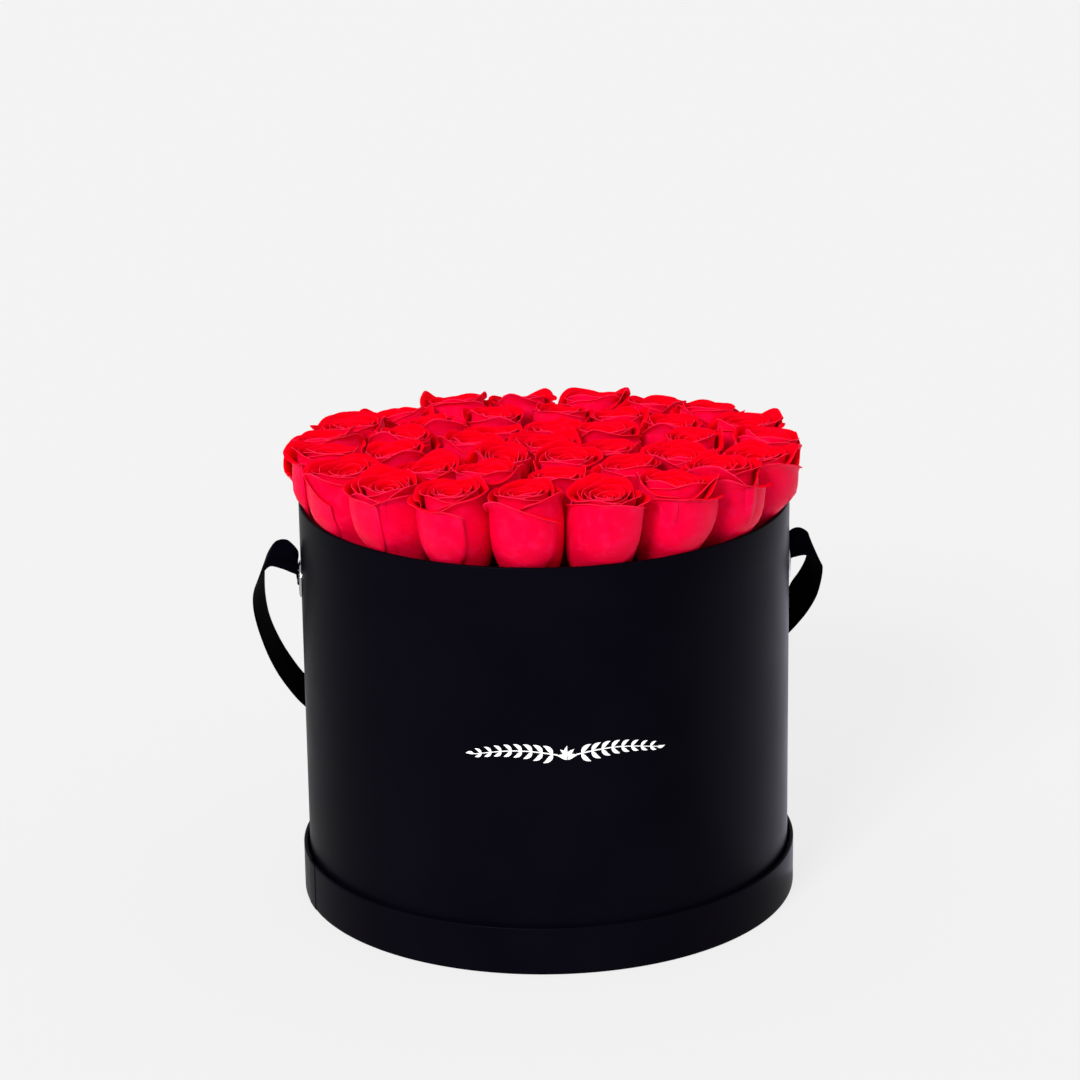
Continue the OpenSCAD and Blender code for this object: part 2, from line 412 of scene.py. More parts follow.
def arc(cx, cz, r, a0, a1, n):
    """Points on an arc in the (radius, z) plane, angles in degrees."""
    return [(cx + r * math.cos(math.radians(a0 + (a1 - a0) * i / n)),
             cz + r * math.sin(math.radians(a0 + (a1 - a0) * i / n))) for i in range(n + 1)]


def ease(x, low=0.0, high=1.0):
    """0 below low, 1 above high, and a smooth step between."""
    t = np.clip((np.asarray(x, float) - low) / (high - low), 0, 1)
    return t * t * (3 - 2 * t)


def repaint(material, *nodes):
    """A CAD node whose shape is right keeps it, and takes a better material."""
    for node in nodes:
        slots = bpy.data.objects[node].data.materials
        slots.clear()
        slots.append(material)


# ---------- covering paper ----------

ROUND = 320              # steps round the box
PAPER_BEND = 0.8 * MM    # outer radius of the folds
TURN_IN = 20 * MM        # how far the paper goes down inside the rim
BORDER = 10 * MM         # how far it goes in under the panel
LAP = 12 * MM            # how far one end lies over the other
LAP_STEPS = 6
LID_SEAM, BOX_SEAM = 191, 84


def wrapped(name, body, lining, seam_deg, material):
    """Covering paper with rounded folds and a lap where its ends meet. It takes the place
    of the CAD node of that name. Its section runs from the border under the panel, up the
    outside, over the rim and down the inside, then back along the paper's other face."""
    low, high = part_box(name)
    r, z0, z1 = high[0], low[2], high[2]
    r_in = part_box(lining)[1][0] - PAPER
    t, b = PAPER, PAPER_BEND
    rise = (z1 - z0) / 10
    face = ([(r - t - BORDER, z0)] + arc(r - b, z0 + b, b, -90, 0, 5)
            + [(r, z0 + rise * k) for k in range(1, 10)]
            + arc(r - b, z1 - b, b, 0, 90, 5) + arc(r_in + b, z1 - b, b, 90, 180, 5)
            + [(r_in, z1 - TURN_IN)])
    back = ([(r_in + t, z1 - TURN_IN)] + arc(r_in + b, z1 - b, b - t, 180, 90, 5)
            + arc(r - b, z1 - b, b - t, 90, 0, 5)
            + [(r - t, z0 + rise * k) for k in range(9, 0, -1)]
            + arc(r - b, z0 + b, b - t, 0, -90, 5) + [(r - t - BORDER, z0 + t)])
    section = face + back
    n = len(section)
    start = math.radians(seam_deg)
    turns = [start + 2 * math.pi * i / ROUND for i in range(ROUND)]
    turns += [start + 2 * math.pi + LAP / r * i / LAP_STEPS for i in range(LAP_STEPS + 1)]
    verts, faces = [], []
    for k, a in enumerate(turns):
        over = t * float(ease(a, start + 2 * math.pi - 0.03, start + 2 * math.pi))
        for pr, pz in section:
            pr += over if pr > r_in + 1.2 * MM else 0.0
            verts.append((pr * math.cos(a), pr * math.sin(a), pz))
        if k:
            for q in range(n):
                i, j = (k - 1) * n + q, (k - 1) * n + (q + 1) % n
                faces.append((i, i + n, j + n, j))
    faces += [tuple(range(n)), tuple(len(verts) - 1 - q for q in range(n))]
    ob = add(f"{name}_paper", verts, faces, [material], body)
    recalc(ob)
    ob.data.set_sharp_from_angle(angle=math.radians(50))
    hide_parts(name)
    return ob


def cut_hole(ob, centre, r):
    """A round hole through the wall, along X."""
    bm = bmesh.new()
    bmesh.ops.create_cone(bm, cap_ends=True, segments=48, radius1=r, radius2=r, depth=12 * MM,
                          matrix=Matrix.Translation(centre)
                          @ Matrix.Rotation(math.pi / 2, 4, "Y"))
    tool_mesh = bpy.data.meshes.new("hole")
    bm.to_mesh(tool_mesh)
    bm.free()
    tool = bpy.data.objects.new("hole", tool_mesh)
    bpy.context.collection.objects.link(tool)
    cut = ob.modifiers.new("hole", "BOOLEAN")
    cut.object = tool
    cut.solver = "EXACT"
    apply_modifiers(ob)
    bpy.data.objects.remove(tool)


def covers(material):
    wrapped("lid_wrap", "lid", "lid_lining", LID_SEAM, material)
    box = wrapped("box_wrap", "box", "box_lining", BOX_SEAM, material)
    for name, side in (("eyelet_left", -1), ("eyelet_right", 1)):
        low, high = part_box(name)
        cut_hole(box, (side * BOX_R, 0, (low[2] + high[2]) / 2), EYELET_HOLE + EYELET_T)


# ---------- print ----------

FOIL = 0.12 * MM
EMBLEM_Z = 139 * MM
BRANCH_FROM, BRANCH_TO = 5.5, 55
BRANCH_POINTS = 34
LEAF_PAIRS = 8
BUD_LEAVES = 5


def foil_strip(verts, faces, middle, widths):
    """A thin strip of foil on the wall, along a line of (along the wall, height) points."""
    line = np.array(middle, float)
    along = np.gradient(line, axis=0)
    across = np.stack([-along[:, 1], along[:, 0]], 1)
    across /= np.linalg.norm(across, axis=1)[:, None]
    base = len(verts)
    for p, d, w in zip(line, across, widths):
        for lift in (0.02 * MM, FOIL):
            for side in (-1, 0, 1):
                s, z = p + d * side * w / 2
                a = s / BOX_R - math.pi / 2
                r = BOX_R + lift
                verts.append((r * math.cos(a), r * math.sin(a), z))
    for i in range(len(line) - 1):
        k = base + 6 * i
        for a, b in ((3, 4), (4, 5), (1, 0), (2, 1), (0, 3), (5, 2)):
            faces.append((k + a, k + b, k + 6 + b, k + 6 + a))
    end = base + 6 * (len(line) - 1)
    faces += [(base, base + 1, base + 4, base + 3), (base + 1, base + 2, base + 5, base + 4),
              (end + 3, end + 4, end + 1, end), (end + 4, end + 5, end + 2, end + 1)]


def leaf(verts, faces, foot, direction, length, width):
    """A bent leaf of foil, widest a little nearer its foot."""
    steps = np.linspace(0, 1, 11)
    d = np.array([math.cos(direction), math.sin(direction)])
    side = np.array([-d[1], d[0]])
    bend = 0.12 * length * np.sin(steps * math.pi) * (1 if d[1] > 0 else -1) * np.sign(d[0])
    middle = [foot + d * length * t + side * c for t, c in zip(steps, bend)]
    foil_strip(verts, faces, middle, width * np.sin(np.pi * steps ** 0.8) + 0.15 * MM)


def emblem(material):
    """A white sprig: two branches with paired leaves, and a small bud between them."""
    verts, faces = [], []
    for side in (-1, 1):
        xs = np.linspace(BRANCH_FROM, BRANCH_TO, BRANCH_POINTS) * MM
        along = np.linspace(0, 1, BRANCH_POINTS)
        zs = EMBLEM_Z + 2.6 * MM * np.sin(along * math.pi * 1.1) - 1 * MM
        branch = np.stack([side * xs, zs], 1)
        foil_strip(verts, faces, branch, np.linspace(0.8, 0.45, len(xs)) * MM)
        for k in range(LEAF_PAIRS):
            foot = branch[2 + 4 * k]
            size = (7.6 - 0.42 * k) * MM
            for up in (-1, 1):
                spread = math.radians(44 - 1.5 * k) * up
                direction = spread if side > 0 else math.pi - spread
                leaf(verts, faces, foot, direction, size, 0.34 * size)
        leaf(verts, faces, branch[-1], 0 if side > 0 else math.pi, 5 * MM, 1.7 * MM)
    for k in range(BUD_LEAVES):
        leaf(verts, faces, np.array([0, EMBLEM_Z - 4 * MM]),
             math.radians(90 + (k - 2) * 33), (8.5 - abs(k - 2)) * MM, 2.5 * MM)
    ob = add("emblem_sprig", verts, faces, [material], "box", smooth=False)
    recalc(ob)


# ---------- eyelets ----------

EYELET_HOLE = 5.5 * MM
EYELET_FLANGE = 11.5 * MM
EYELET_T = 0.5 * MM
CURL_R = 8 * MM          # the barrel's curled end, as a ring round the hole
CURL_HALF = 0.3 * MM
EYELET_ROUND = 72


def eyelets(material):
    """Each eyelet has a domed flange with a rolled edge, and a barrel whose end is curled
    back over the washer."""
    mid = (EYELET_HOLE + EYELET_FLANGE) / 2
    half = (EYELET_FLANGE - EYELET_HOLE) / 2
    for side, name in ((-1, "eyelet_left"), (1, "eyelet_right")):
        low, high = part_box(name)
        inner = BOX_R - min(abs(low[0]), abs(high[0]))
        h = max(abs(low[0]), abs(high[0])) - BOX_R
        curl = [(CURL_R + 0.1 * MM * math.cos(a), -inner + CURL_HALF + CURL_HALF * math.sin(a))
                for a in np.linspace(-math.pi / 2, math.pi / 2, 7)]
        section = [(mid + half * math.cos(a), h * math.sin(a) ** 0.85)
                   for a in np.linspace(0, math.pi, 25)]
        section += [(EYELET_HOLE, -0.8 * inner), (EYELET_HOLE + 0.15 * MM, -0.95 * inner),
                    (EYELET_HOLE + 0.6 * MM, -inner)] + curl
        section += [(EYELET_HOLE + 0.9 * MM, -inner + 0.6 * MM),
                    (EYELET_HOLE + EYELET_T, -inner + 1 * MM), (EYELET_HOLE + EYELET_T, 0)]
        n = len(section)
        verts, faces = [], []
        for k in range(EYELET_ROUND):
            a = 2 * math.pi * k / EYELET_ROUND
            for r, x in section:
                verts.append((side * (BOX_R + x), r * math.cos(a), EYELET_Z + r * math.sin(a)))
            for q in range(n):
                i, j = k * n + q, k * n + (q + 1) % n
                m = (k + 1) % EYELET_ROUND * n - k * n
                faces.append((i, i + m, j + m, j))
        ob = add(f"{name}_metal", verts, faces, [material], "box")
        recalc(ob)
        ob.data.set_sharp_from_angle(angle=math.radians(45))
        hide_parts(name)


# ---------- strap ----------

# The ribbon's route, the same points as in the CAD, in millimetres: upper and lower edge
STRAP_ROUTE = [
    ((-145.6, 0, 207.5), (-145.6, 0, 198.5)),
    ((-151.55, 0, 208), (-151.8, 0, 199)),
    ((-151.45, 0, 214.5), (-152.4, 0, 202)),
    ((-151.1, 0, 220.5), (-152.8, 0, 205.4)),
    ((-154.6, 0, 225.5), (-156.5, 0.5, 207.3)),
    ((-158.5, 1.5, 228), (-162, 3, 209)),
    ((-164, 6, 226), (-169, 6, 209.5)),
    ((-168.5, 14, 218), (-174.5, 9, 203)),
    ((-171.5, 26, 207), (-178.5, 16, 192.5)),
    ((-172.5, 39, 193), (-180, 26, 181)),
    ((-172.5, 51, 177), (-179.2, 38.3, 166.2)),
    ((-170.6, 63, 159.8), (-175.9, 50.4, 148.3)),
    ((-165.9, 75, 142.2), (-170.5, 64.3, 128)),
    ((-158.6, 87, 123.8), (-162.7, 78.3, 108)),
    ((-148, 99, 104.5), (-150.3, 93.4, 86.2)),
    ((-132, 112.5, 87), (-133, 109.5, 67.5)),
    ((-108, 127, 76), (-108, 126, 56)),
    ((-80, 139, 70), (-80, 139, 50)),
    ((-50, 147, 68), (-50, 147, 48)),
    ((-18, 152, 70), (-18, 152, 50)),
    ((14, 152.5, 75.5), (14, 152.5, 55.5)),
    ((45, 147, 84.5), (46, 146.5, 64.5)),
    ((74, 135.5, 96.5), (75, 134.5, 76.5)),
    ((100, 120, 110.5), (102, 117, 90.5)),
    ((129, 100, 125.5), (129.5, 95.5, 106.5)),
    ((148, 79, 138), (147.5, 73.5, 120)),
    ((157, 61.5, 150), (156, 58, 131.4)),
    ((158, 54.2, 162), (164.1, 47.2, 144.8)),
    ((159.8, 46.3, 173), (169.8, 38.3, 156.9)),
    ((164, 38.2, 183.6), (173.2, 28.2, 169.5)),
    ((166.4, 29, 194.4), (174.1, 17.3, 182.6)),
    ((166.3, 20, 205), (173.7, 8.4, 193.2)),
    ((165.5, 12, 214), (172, 3, 199)),
    ((163.3, 5, 219.6), (166.5, 1, 204.5)),
    ((159, 1.4, 223.4), (161, 1, 205.6)),
    ((154.6, 0, 223.8), (156, 0, 205.2)),
    ((151.1, 0, 221), (152.8, 0, 204.2)),
    ((151.45, 0, 214), (152.4, 0, 201.8)),
    ((151.55, 0, 208), (151.8, 0, 199)),
    ((145.6, 0, 207.5), (145.6, 0, 198.5)),
]
RIBBON_WIDTH = 0.020
RIBBON_HALF = 0.22 * MM     # half the ribbon's thickness, and half its woven edge's
SELVEDGE_HALF = 0.3 * MM
PLEAT_DEPTH = 1.1 * MM
PLEAT_REACH = 9 * MM        # how far from the wall the pleats have opened out
EYELET_Y = 8 * MM           # pleats are only this near the eyelets' axis, along Y
ROUTE_STEPS = 6             # rows of the mesh for each row of the route
ACROSS = 12                 # columns of the mesh
KNOT_HALF = 2.7 * MM        # half the thickness of the gathered ribbon in a knot
KNOT_STEPS = 180
KNOT_ROUND = 16


def smooth_line(points, per):
    """A curve through the points, with per steps between each two."""
    p = np.array(points, float)
    p = np.vstack([2 * p[0] - p[1], p, 2 * p[-1] - p[-2]])
    out = []
    for i in range(1, len(p) - 2):
        for t in np.arange(per) / per:
            a, b, c, d = p[i - 1:i + 3]
            out.append(0.5 * (2 * b + (c - a) * t + (2 * a - 5 * b + 4 * c - d) * t ** 2
                              + (3 * b - a - 3 * c + d) * t ** 3))
    out.append(p[-2])
    return np.array(out)


def ribbon_points(top, low, middle):
    """The ribbon's two faces as points, row by row from its lower edge to its upper one. It
    is flat except near an eyelet, where it is pleated."""
    normal = np.cross(np.gradient(middle, axis=0), top - low)
    normal /= np.linalg.norm(normal, axis=1)[:, None]
    pleat = 1 - ease(np.abs(middle[:, 0]), BOX_R + 1 * MM, BOX_R + PLEAT_REACH)
    pleat[np.abs(middle[:, 1]) > EYELET_Y] = 0
    verts = []
    for side in (1, -1):
        for i in range(len(top)):
            for j in range(ACROSS + 1):
                v = j / ACROSS
                wave = math.sin(v * math.pi * 3) * PLEAT_DEPTH * pleat[i]
                firm = SELVEDGE_HALF if j in (0, ACROSS) else RIBBON_HALF
                p = low[i] + (top[i] - low[i]) * v
                verts.append(tuple(p + normal[i] * (wave + side * firm)))
    return verts


def ribbon_faces(rows):
    """The faces between the points of ribbon_points: both sides, then the edges and ends."""
    n = ACROSS + 1
    other = rows * n
    faces = []
    for i in range(rows - 1):
        for j in range(ACROSS):
            a = i * n + j
            b = a + other
            faces.append((a, a + 1, a + n + 1, a + n))
            faces.append((b, b + n, b + n + 1, b + 1))
    for i in range(rows - 1):
        a = i * n
        b = a + ACROSS
        faces.append((a, a + n, a + n + other, a + other))
        faces.append((b + other, b + n + other, b + n, b))
    for i in (0, rows - 1):
        for j in range(ACROSS):
            a = i * n + j
            faces.append((a, a + 1, a + 1 + other, a + other))
    return faces


def strap(material):
    """The ribbon: ruled between its two edges, gathered into pleats in each eyelet, with a
    thin body and firm woven edges."""
    top = smooth_line([row[0] for row in STRAP_ROUTE], ROUTE_STEPS) * MM
    low = smooth_line([row[1] for row in STRAP_ROUTE], ROUTE_STEPS) * MM
    middle = (top + low) / 2
    steps = np.linalg.norm(np.diff(middle, axis=0), axis=1)
    run = np.concatenate([[0], np.cumsum(steps)])
    ob = add("ribbon_strap", ribbon_points(top, low, middle), ribbon_faces(len(top)),
             [material], "strap")
    recalc(ob)
    layer = ob.data.uv_layers.new(name="ribbon")
    for loop in ob.data.loops:
        row, column = divmod(loop.vertex_index % (len(top) * (ACROSS + 1)), ACROSS + 1)
        layer.data[loop.index].uv = (column / ACROSS * RIBBON_WIDTH, run[row])
    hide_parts("carry_strap")


def knots(material):
    """The ribbon's ends are knotted behind the eyelets: a tight overhand knot of gathered
    ribbon that fills the CAD knot's box."""
    t = np.linspace(0, 2 * math.pi, KNOT_STEPS, endpoint=False)
    loop = np.stack([-np.sin(3 * t), (np.sin(t) + 2 * np.sin(2 * t)) / 3,
                     (np.cos(t) - 2 * np.cos(2 * t)) / 3], 1)
    a = np.linspace(0, 2 * math.pi, KNOT_ROUND, endpoint=False)
    pleated = KNOT_HALF * (1 + 0.1 * np.cos(6 * a))
    for name in ("strap_knot_left", "strap_knot_right"):
        low, high = (np.array(v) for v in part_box(name))
        path = (low + high) / 2 + loop * ((high - low) / 2 - KNOT_HALF)
        along = np.roll(path, -1, 0) - np.roll(path, 1, 0)
        along /= np.linalg.norm(along, axis=1)[:, None]
        out = path - (low + high) / 2
        out -= (out * along).sum(1)[:, None] * along
        out /= np.linalg.norm(out, axis=1)[:, None]
        side = np.cross(along, out)
        ring = (path[:, None] + out[:, None] * (0.8 * pleated * np.cos(a))[None, :, None]
                + side[:, None] * (pleated * np.sin(a))[None, :, None])
        faces = []
        for i in range(KNOT_STEPS):
            for j in range(KNOT_ROUND):
                k = (j + 1) % KNOT_ROUND
                here, ahead = i * KNOT_ROUND, (i + 1) % KNOT_STEPS * KNOT_ROUND
                faces.append((here + j, ahead + j, ahead + k, here + k))
        ob = add(f"{name}_wound", ring.reshape(-1, 3).tolist(), faces, [material], "strap")
        recalc(ob)
        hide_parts(name)


# ---------- roses ----------

RING_COUNT = (1, 7, 13, 19)       # heads in each ring, from the middle outward
RING_LEAN = (0.0, 2.0, 4.0, 9.0)  # how far they lean outward, in degrees
HEAD_FOOT_R = 4.5
HEAD_WIDEST_Z = 37.0
HEAD_R = 19.3
HEAD_APART = 62                   # heads further apart than this can't touch
# A bud's outline: heights above its foot, and its radius there as a share of the widest
OUTLINE_Z = (-5, -2, 3, 10, 20, 30, 41, 50, 57)
OUTLINE_R = (0.23, 0.5, 0.72, 0.88, 0.97, 1.0, 0.985, 0.93, 0.91)
WALL_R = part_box("box_lining")[0][0] / -MM - PAPER / MM
RIM_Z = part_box("box_wrap")[1][2] / MM
PETALS = 19
GOLDEN = math.radians(137.5)
PETAL_T = 0.32
HEART_R = 1.4
STRAP_CLEAR_X = 157


def lip_rolls(rng, f, guard, pointed):
    """How far a petal's lip rolls outward at its middle and at its sides."""
    middle = math.radians(np.interp(f, (0, 0.35, 1), (8, 36, 72)) * rng.uniform(0.6, 1.3))
    side = math.radians(np.interp(f, (0, 0.35, 1), (14, 52, 98)) * rng.uniform(0.7, 1.25))
    return (middle * (1 + 0.35 * guard - 0.45 * pointed),
            side * (1 + 0.25 * guard + 0.2 * pointed))


def petal_body(f, widest, top, fall):
    """Radii and heights of the part below the lip. Its upper end drops by fall, a share of
    its height, which is a value for each column."""
    foot = np.interp(f, (0, 0.5, 1), (24, 6, -5))
    x = np.linspace(0, 1, 8 if f < 0.5 else 12)[:, None]
    z = foot + (top - foot) * (1 - fall)[None, :] * x
    r = widest * np.interp(z, OUTLINE_Z, OUTLINE_R)
    if f < 0.75:
        r = r * (0.55 + 0.45 * ease(x, 0, 0.5))
    return r, z


def petal_lip(r, z, length, roll, rows):
    """Adds the lip's rows, which curl outward from the body's last row."""
    out, up = r[-1].copy(), z[-1].copy()
    rs, zs = [r], [z]
    for k in range(rows):
        a = -0.08 + roll * ((k + 0.5) / rows) ** 1.2
        out = out + np.sin(a) * length / rows
        up = up + np.cos(a) * length / rows
        rs.append(out[None, :])
        zs.append(up[None, :])
    return np.vstack(rs), np.vstack(zs)


def stand_off(rng, r, u, t, guard):
    """One side of a guard petal stands off the bud, and the other a little."""
    hand = 1 if rng.random() < 0.5 else -1
    off = guard * rng.uniform(1.0, 6.5)
    r = r + off * (ease(hand * u, 0.25, 1.0) ** 1.4)[None, :] * ease(t, 0.1, 0.55)
    return r + guard * 0.7 * (ease(-hand * u, 0.6, 1.0))[None, :] * ease(t, 0.2, 0.7)


def ruffle(rng, r, z, u, t, f):
    """Waves in the petal, deepest at its lip, and fine folds along it."""
    phase = rng.uniform(0, 2 * math.pi, 5)
    wave = (np.sin(3.1 * u + phase[0]) + 0.6 * np.sin(6.7 * u + phase[1]))[None, :]
    r = r + wave * (0.25 * t + 0.6 * t ** 4) * (0.5 + 0.5 * f)
    r = r + 0.3 * f * np.sin(4 * u[None, :] + z / 6 + phase[2])
    r = r + 0.12 * t ** 2 * np.sin(19 * u[None, :] + 2 * np.sin(z / 5) + phase[0])
    lift = (np.sin(3.7 * u + phase[3]) + 0.5 * np.sin(8 * u + phase[4]))[None, :]
    return r, z + lift * t ** 4 * (0.25 + 0.6 * f)


def petal_sheet(rng, f, guard, head_r):
    """One petal as a grid: the angle, radius and height of its points in millimetres, with
    its foot at the origin, then how near each is to the petal's edge and how far up. f runs
    from 0 at the heart to 1 outside. The body swells from the foot and draws in a little
    at the neck, and the lip rolls outward. The guard petals are the outermost ones: one of
    their sides stands off the bud, and their tips may be pointed."""
    u = np.linspace(-1, 1, 15 if f < 0.3 else 23)
    pointed = guard * (rng.random() < 0.35)
    low = guard * max(0.0, rng.uniform(-12, 8))
    half = math.radians(np.interp(f, (0, 0.3, 0.7, 1), (150, 110, 88, 78)))
    half *= rng.uniform(0.92, 1.08)
    widest = HEART_R + (head_r - HEART_R) * f ** 0.85
    lip = np.interp(f, (0, 0.3, 0.8, 1), (1.5, 3.0, 4.2, 5.4)) * rng.uniform(0.75, 1.35)
    lip += 3.5 * pointed
    roll_middle, roll_side = lip_rolls(rng, f, guard, pointed)
    top = (np.interp(f, (0, 0.3, 0.7, 1), (50.5, 53, 55.5, 56)) - lip * 0.65 - low
           + rng.uniform(-1.1, 1.1))
    drop = np.interp(f, (0, 1), (0.03, 0.1)) * rng.uniform(0.6, 1.5) + 0.07 * guard * rng.random()
    skew = 0.9 * guard * rng.uniform(-1, 1)
    w = u + rng.uniform(-0.25, 0.25) * (1 - u * u)
    side = np.abs(w)
    r, z = petal_body(f, widest, top, drop * (1 + skew * np.sign(w)) * side ** 2.2)
    length = lip * (1 - 0.4 * side ** 2) + 2.2 * pointed * np.exp(-(w / 0.2) ** 2)
    roll = roll_middle + (roll_side - roll_middle) * ease(side, 0.08, 0.75)
    r, z = petal_lip(r, z, length, roll, 5 if f < 0.5 else 8)
    t = np.linspace(0, 1, len(r))[:, None]
    turn = u[None, :] * half * (0.5 + 0.5 * ease(t, 0.0, 0.4))
    spiral = np.interp(f, (0, 1), (0.4, 0.9))
    r = r + spiral * (0.5 + u[None, :]) * (0.4 + 0.6 * t)
    r = stand_off(rng, r, u, t, guard)
    r, z = ruffle(rng, r, z, u, t, f)
    # The edge mask: petal() uses it to paint a lighter highlight along the petals' edges and lip
    # tops.
    edge = np.maximum(np.abs(u)[None, :] ** 3 * ease(t, 0.2, 0.6), t ** 4)
    return turn, r, z, edge, t


def tuck(sheets):
    """Where an outer petal covers the lip of an inner one, the inner one stays inside it.
    For each point of a petal that lies under a later one, the column of that later petal
    which passes it sets how far out the point may be."""
    for i in reversed(range(len(sheets) - 1)):
        way, turn, r, z = sheets[i][:4]
        own_top = z.max(0)[None, :] + 0 * z
        for cover_way, cover_turn, cover_r, cover_z in (s[:4] for s in sheets[i + 1:i + 9]):
            half = cover_turn[-1, -1]
            off = (way + turn - cover_way + math.pi) % (2 * math.pi) - math.pi
            under = ease(half - np.abs(off), 0, 0.2)
            across = np.clip(off / half + 1, 0, 2) / 2
            column = np.round(across * (cover_r.shape[1] - 1)).astype(int)
            for c in np.unique(column[under > 0]):
                lip = int(np.argmax(cover_z[:, c]))
                top = cover_z[lip, c]
                here = (column == c) & (under > 0) & (z < top)
                hold = under[here] * ease(top - own_top[here], -0.5, 1.5)
                limit = np.interp(z[here], cover_z[:lip + 1, c], cover_r[:lip + 1, c]) - 0.45
                r[here] -= hold * np.clip(r[here] - limit, 0, None)


def crowd(points, centre, others):
    """Where a petal would reach past the middle between two heads, it is pressed back."""
    for other in others:
        gap = other - centre
        far = float(np.linalg.norm(gap))
        d = gap / far
        s = (points[:, :2] - centre) @ d
        over = np.clip(s - (far / 2 - 1.6), 0, None)
        back = over - 2.0 * (1 - np.exp(-over / 2.0))
        points[:, :2] -= back[:, None] * d[None, :]


def spill(points, amount):
    """Inside the box petals stay clear of the wall; above the rim they spill over it, but
    not as far as the strap's swing on the right."""
    r = np.linalg.norm(points[:, :2], axis=1)
    z = points[:, 2]
    out = r + amount * ease(r, 130, 148) * ease(z, RIM_Z - 8, RIM_Z + 12)
    limit = WALL_R - 0.9 + 15 * ease(z, RIM_Z - 3, RIM_Z + 14)
    soft = 1.5 + 3 * ease(z, RIM_Z, RIM_Z + 14)
    over = np.clip(out - limit + soft, 0, None)
    out = np.where(over > 0, limit - soft * np.exp(-over / soft), out)
    points[:, :2] *= (out / np.maximum(r, 1e-6))[:, None]
    soft = 4
    over = np.clip(points[:, 0] - STRAP_CLEAR_X + soft, 0, None)
    points[:, 0] -= over - soft * (1 - np.exp(-over / soft))


def bud(rng, start, heart, direction, outer, head_r):
    """The petals of a half-open bud on a golden-angle spiral, from the heart outward. A head
    of the outer ring has two more, which face the rim. Each petal is the direction that it
    faces, what petal_sheet gives for it, and its tone."""
    sheets = []
    for i in range(PETALS + 2 * outer):
        f = min(i / (PETALS - 1), 1.0)
        guard = float(ease(f, 0.78, 0.92))
        turn, r, z, edge, t = petal_sheet(rng, f, guard, head_r + 0.7 * max(0, i - PETALS + 1))
        way = start + i * GOLDEN + rng.uniform(-0.12, 0.12)
        if i >= PETALS:
            way = direction + (1 if i % 2 else -1) * rng.uniform(0.5, 1.1)
        r = r * (1 - 0.2 * (1 - f) * np.cos(2 * (way + turn - heart)))
        sheets.append((way, turn, r, z, edge, t, rng.random()))
    tuck(sheets)
    return sheets


def lean_over(points, place, sway):
    """Leans a petal's points outward with their head, with the head's own sway besides, and
    sets them on the head's foot. Heads at the back lie flatter and a little lower."""
    foot, direction, lean = place
    out = np.array([math.cos(direction), math.sin(direction), 0])
    level = 0.2 + 0.9 * float(ease(out[1], -0.2, 0.8))
    side = points @ out
    points += out * (points[:, 2:] * math.tan(math.radians(lean)))
    points[:, 2] -= side * math.tan(math.radians(lean * level))
    points += (points[:, 2:] - 20) * sway
    points[:, 2] -= points @ sway
    points += np.array(foot) - (0, 0, 2.0 * float(ease(out[1], 0.2, 0.9)))


def bloom_mesh(name, sheets, verts, mats):
    """All petals of a head as one mesh, with the attribute and the UV that petal() reads."""
    faces, facts, uvs = [], [], []
    count = 0
    for i, (_, turn, r, z, edge, t, tone) in enumerate(sheets):
        rows, columns = r.shape
        facts.append(np.stack([edge.ravel(), np.broadcast_to(t, r.shape).ravel(),
                               np.full(r.size, tone), np.ones(r.size)], 1))
        uvs.append(np.stack([(turn * 14 + i * 40).ravel(), (z + 60 * i).ravel()], 1) * MM)
        for a in range(rows - 1):
            for b in range(columns - 1):
                k = count + a * columns + b
                faces.append((k, k + 1, k + columns + 1, k + columns))
        count += r.size
    ob = add(name, np.vstack(verts).tolist(), faces, mats, None)
    paint = ob.data.color_attributes.new(name="petal", type="FLOAT_COLOR", domain="POINT")
    paint.data.foreach_set("color", np.vstack(facts).ravel())
    layer = ob.data.uv_layers.new(name="petal")
    corner = np.empty(len(ob.data.loops), int)
    ob.data.loops.foreach_get("vertex_index", corner)
    layer.data.foreach_set("uv", np.vstack(uvs)[corner].ravel())
    return ob


def rose(name, node, place, others, rng, mats):
    """One rose head in the place of its CAD node, pressed by the other heads round it."""
    _, direction, lean = place
    outer = lean == RING_LEAN[-1]
    head_r = HEAD_R * rng.uniform(0.95, 1.05)
    start, heart = rng.uniform(0, 2 * math.pi, 2)
    sway = np.append(np.radians(rng.normal(0, 3, 2)), 0)
    sheets = bud(rng, start, heart, direction, outer, head_r)
    verts = []
    for way, turn, r, z, *_ in sheets:
        points = np.stack([r * np.cos(way + turn), r * np.sin(way + turn), z], -1).reshape(-1, 3)
        lean_over(points, place, sway)
        crowd(points, head_middle(place), others)
        if outer:
            spill(points, 5.5)
        verts.append(points * MM)
    ob = bloom_mesh(name, sheets, verts, mats)
    thick = ob.modifiers.new("thick", "SOLIDIFY")
    thick.thickness = PETAL_T * MM
    thick.offset = 0
    thick.material_offset = 1
    thick.material_offset_rim = 2
    apply_modifiers(ob)
    ob.data.shade_smooth()
    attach(ob, "box")
    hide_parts(node)


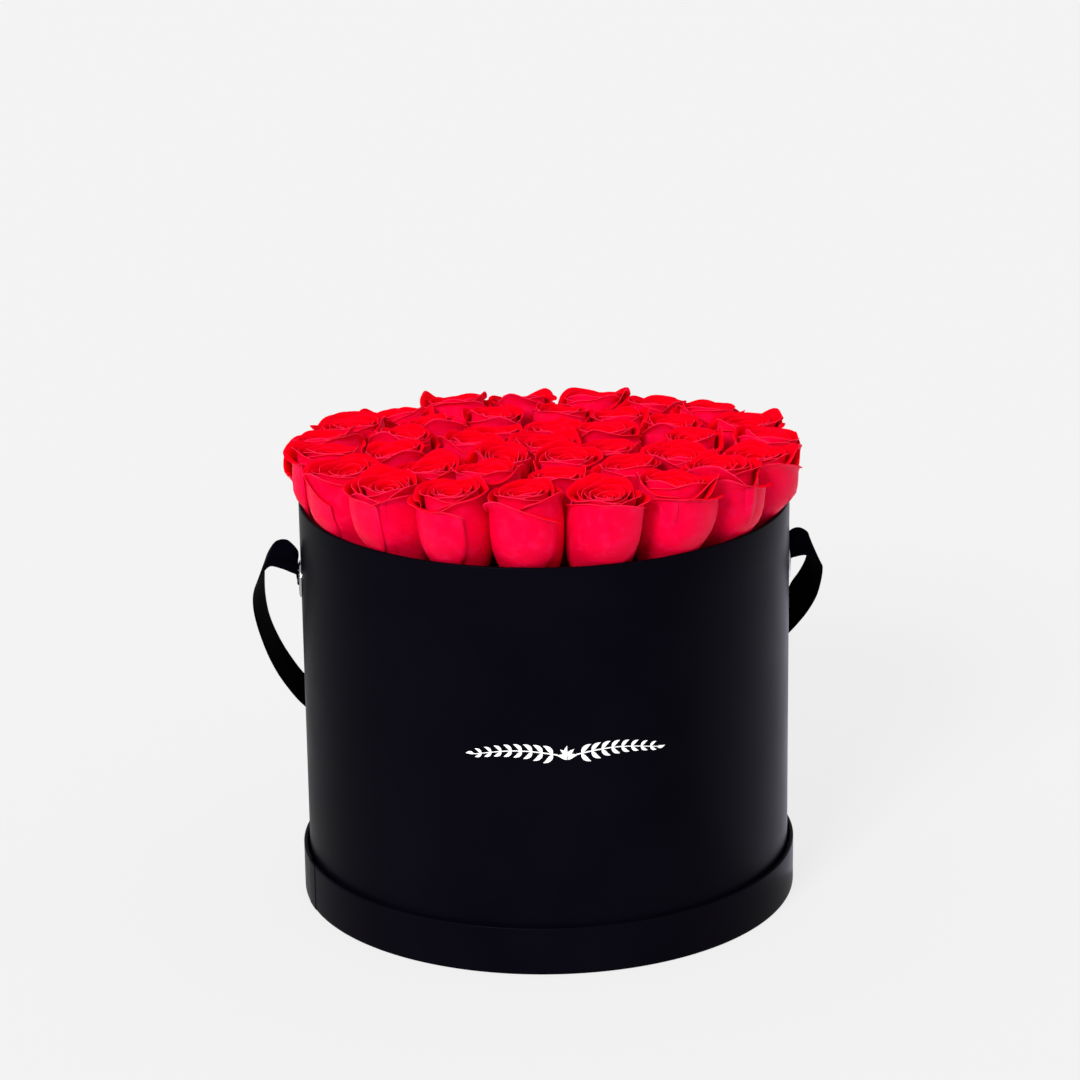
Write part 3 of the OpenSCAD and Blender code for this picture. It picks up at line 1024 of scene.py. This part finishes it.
def head_places():
    """Foot, direction and lean of each head, in millimetres and degrees, as in the CAD."""
    out = []
    for ring, count in enumerate(RING_COUNT):
        lean = RING_LEAN[ring]
        tilt = math.sin(math.radians(lean))
        for _ in range(count):
            low, high = (np.array(v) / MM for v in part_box(f"rose_{len(out) + 1:02d}"))
            mid = (low + high) / 2
            direction = math.atan2(mid[1], mid[0]) if ring else 0.0
            reach = math.hypot(mid[0], mid[1]) - HEAD_WIDEST_Z * tilt if ring else 0.0
            foot = (reach * math.cos(direction), reach * math.sin(direction),
                    low[2] + HEAD_FOOT_R * tilt)
            out.append((foot, direction, lean))
    return out


def head_middle(place):
    """Where a head's widest height is over the floor, as (x, y)."""
    foot, direction, lean = place
    out = np.array([math.cos(direction), math.sin(direction)])
    return np.array(foot[:2]) + out * HEAD_WIDEST_Z * math.tan(math.radians(lean))


def roses():
    # In each side's colours, the first is the painted shade at the petal's foot, and the third is
    # the painted highlight and sheen that petal() mixes in.
    outside = petal("petal_outside", (0.55, 0.0, 0.01), (0.97, 0.0, 0.036),
                    (1.0, 0.01, 0.1), 0.06)
    inside = petal("petal_inside", (0.4, 0.0, 0.002), (0.8, 0.0, 0.006),
                   (0.88, 0.002, 0.02), 0.0)
    # The petals' cut rims get lighter reds: a painted highlight along their thin edges.
    rim = petal("petal_rim_painted_highlight", (0.8, 0.002, 0.02), (0.96, 0.008, 0.042), (1.0, 0.02, 0.07), 0.0)
    places = head_places()
    middles = [head_middle(place) for place in places]
    for i, place in enumerate(places):
        others = [m for j, m in enumerate(middles)
                  if j != i and np.linalg.norm(m - middles[i]) < HEAD_APART]
        rose(f"bloom_{i + 1:02d}", f"rose_{i + 1:02d}", place, others,
             np.random.default_rng(100 + i), [outside, inside, rim])


# ---------- the whole object ----------


def cad_nodes():
    repaint(grey_board(), "lid_panel", "lid_wall", "box_base", "box_wall")
    repaint(lining_paper(), "lid_lining", "box_lining")
    repaint(riser_board(), "bowl_riser")
    repaint(liner_plastic(), "liner_bowl")
    repaint(floral_foam(), "flower_foam")
    repaint(stem_green(), "rose_stems")


camera()
studio()
floor()
cad_nodes()
paper = cover_paper()
covers(paper)
repaint(paper, "lid_panel_paper", "box_base_paper")
emblem(print_white())
metal = eyelet_metal()
eyelets(metal)
repaint(metal, "eyelet_washers")
satin = satin_ribbon()
strap(satin)
knots(satin)
roses()
